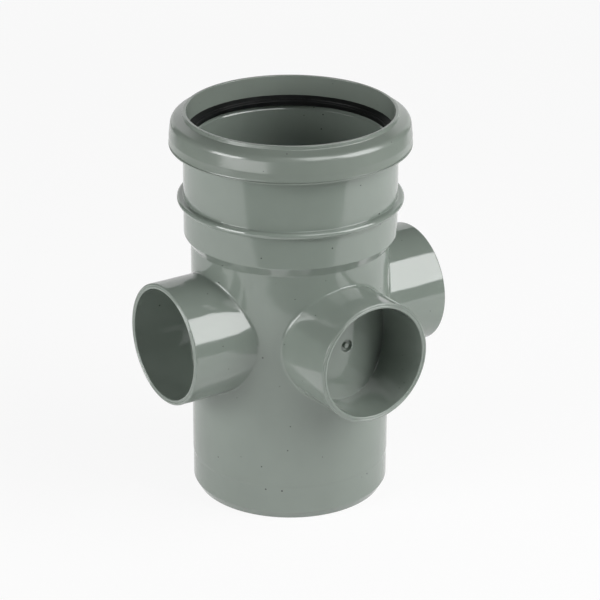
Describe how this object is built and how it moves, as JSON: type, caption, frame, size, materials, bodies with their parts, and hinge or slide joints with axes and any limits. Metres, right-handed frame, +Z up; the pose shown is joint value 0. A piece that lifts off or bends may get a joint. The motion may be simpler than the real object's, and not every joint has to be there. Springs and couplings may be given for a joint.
{
  "type": "boss pipe fitting",
  "caption": "Soil pipe fitting with a ring-seal socket at the head, a plain spigot at the foot and blanked round bosses on three sides.",
  "frame": {"origin": "centre of the spigot's foot, on the plane of its end", "axes": "+Z up along the stack, from spigot to socket; -Y along the front boss; -X and +X along the side bosses"},
  "size_m": [0.165, 0.1489, 0.2215],
  "materials": {
    "grey_plastic": "semi-gloss moulded, grey-green",
    "black_rubber": "satin moulded rubber",
    "grey_plastic_cap": "semi-gloss moulded, grey-green"
  },
  "bodies": {
    "root": {"pipe_body": "grey_plastic", "sealing_ring": "black_rubber", "retaining_cap": "grey_plastic_cap"}
  },
  "joints": []
}
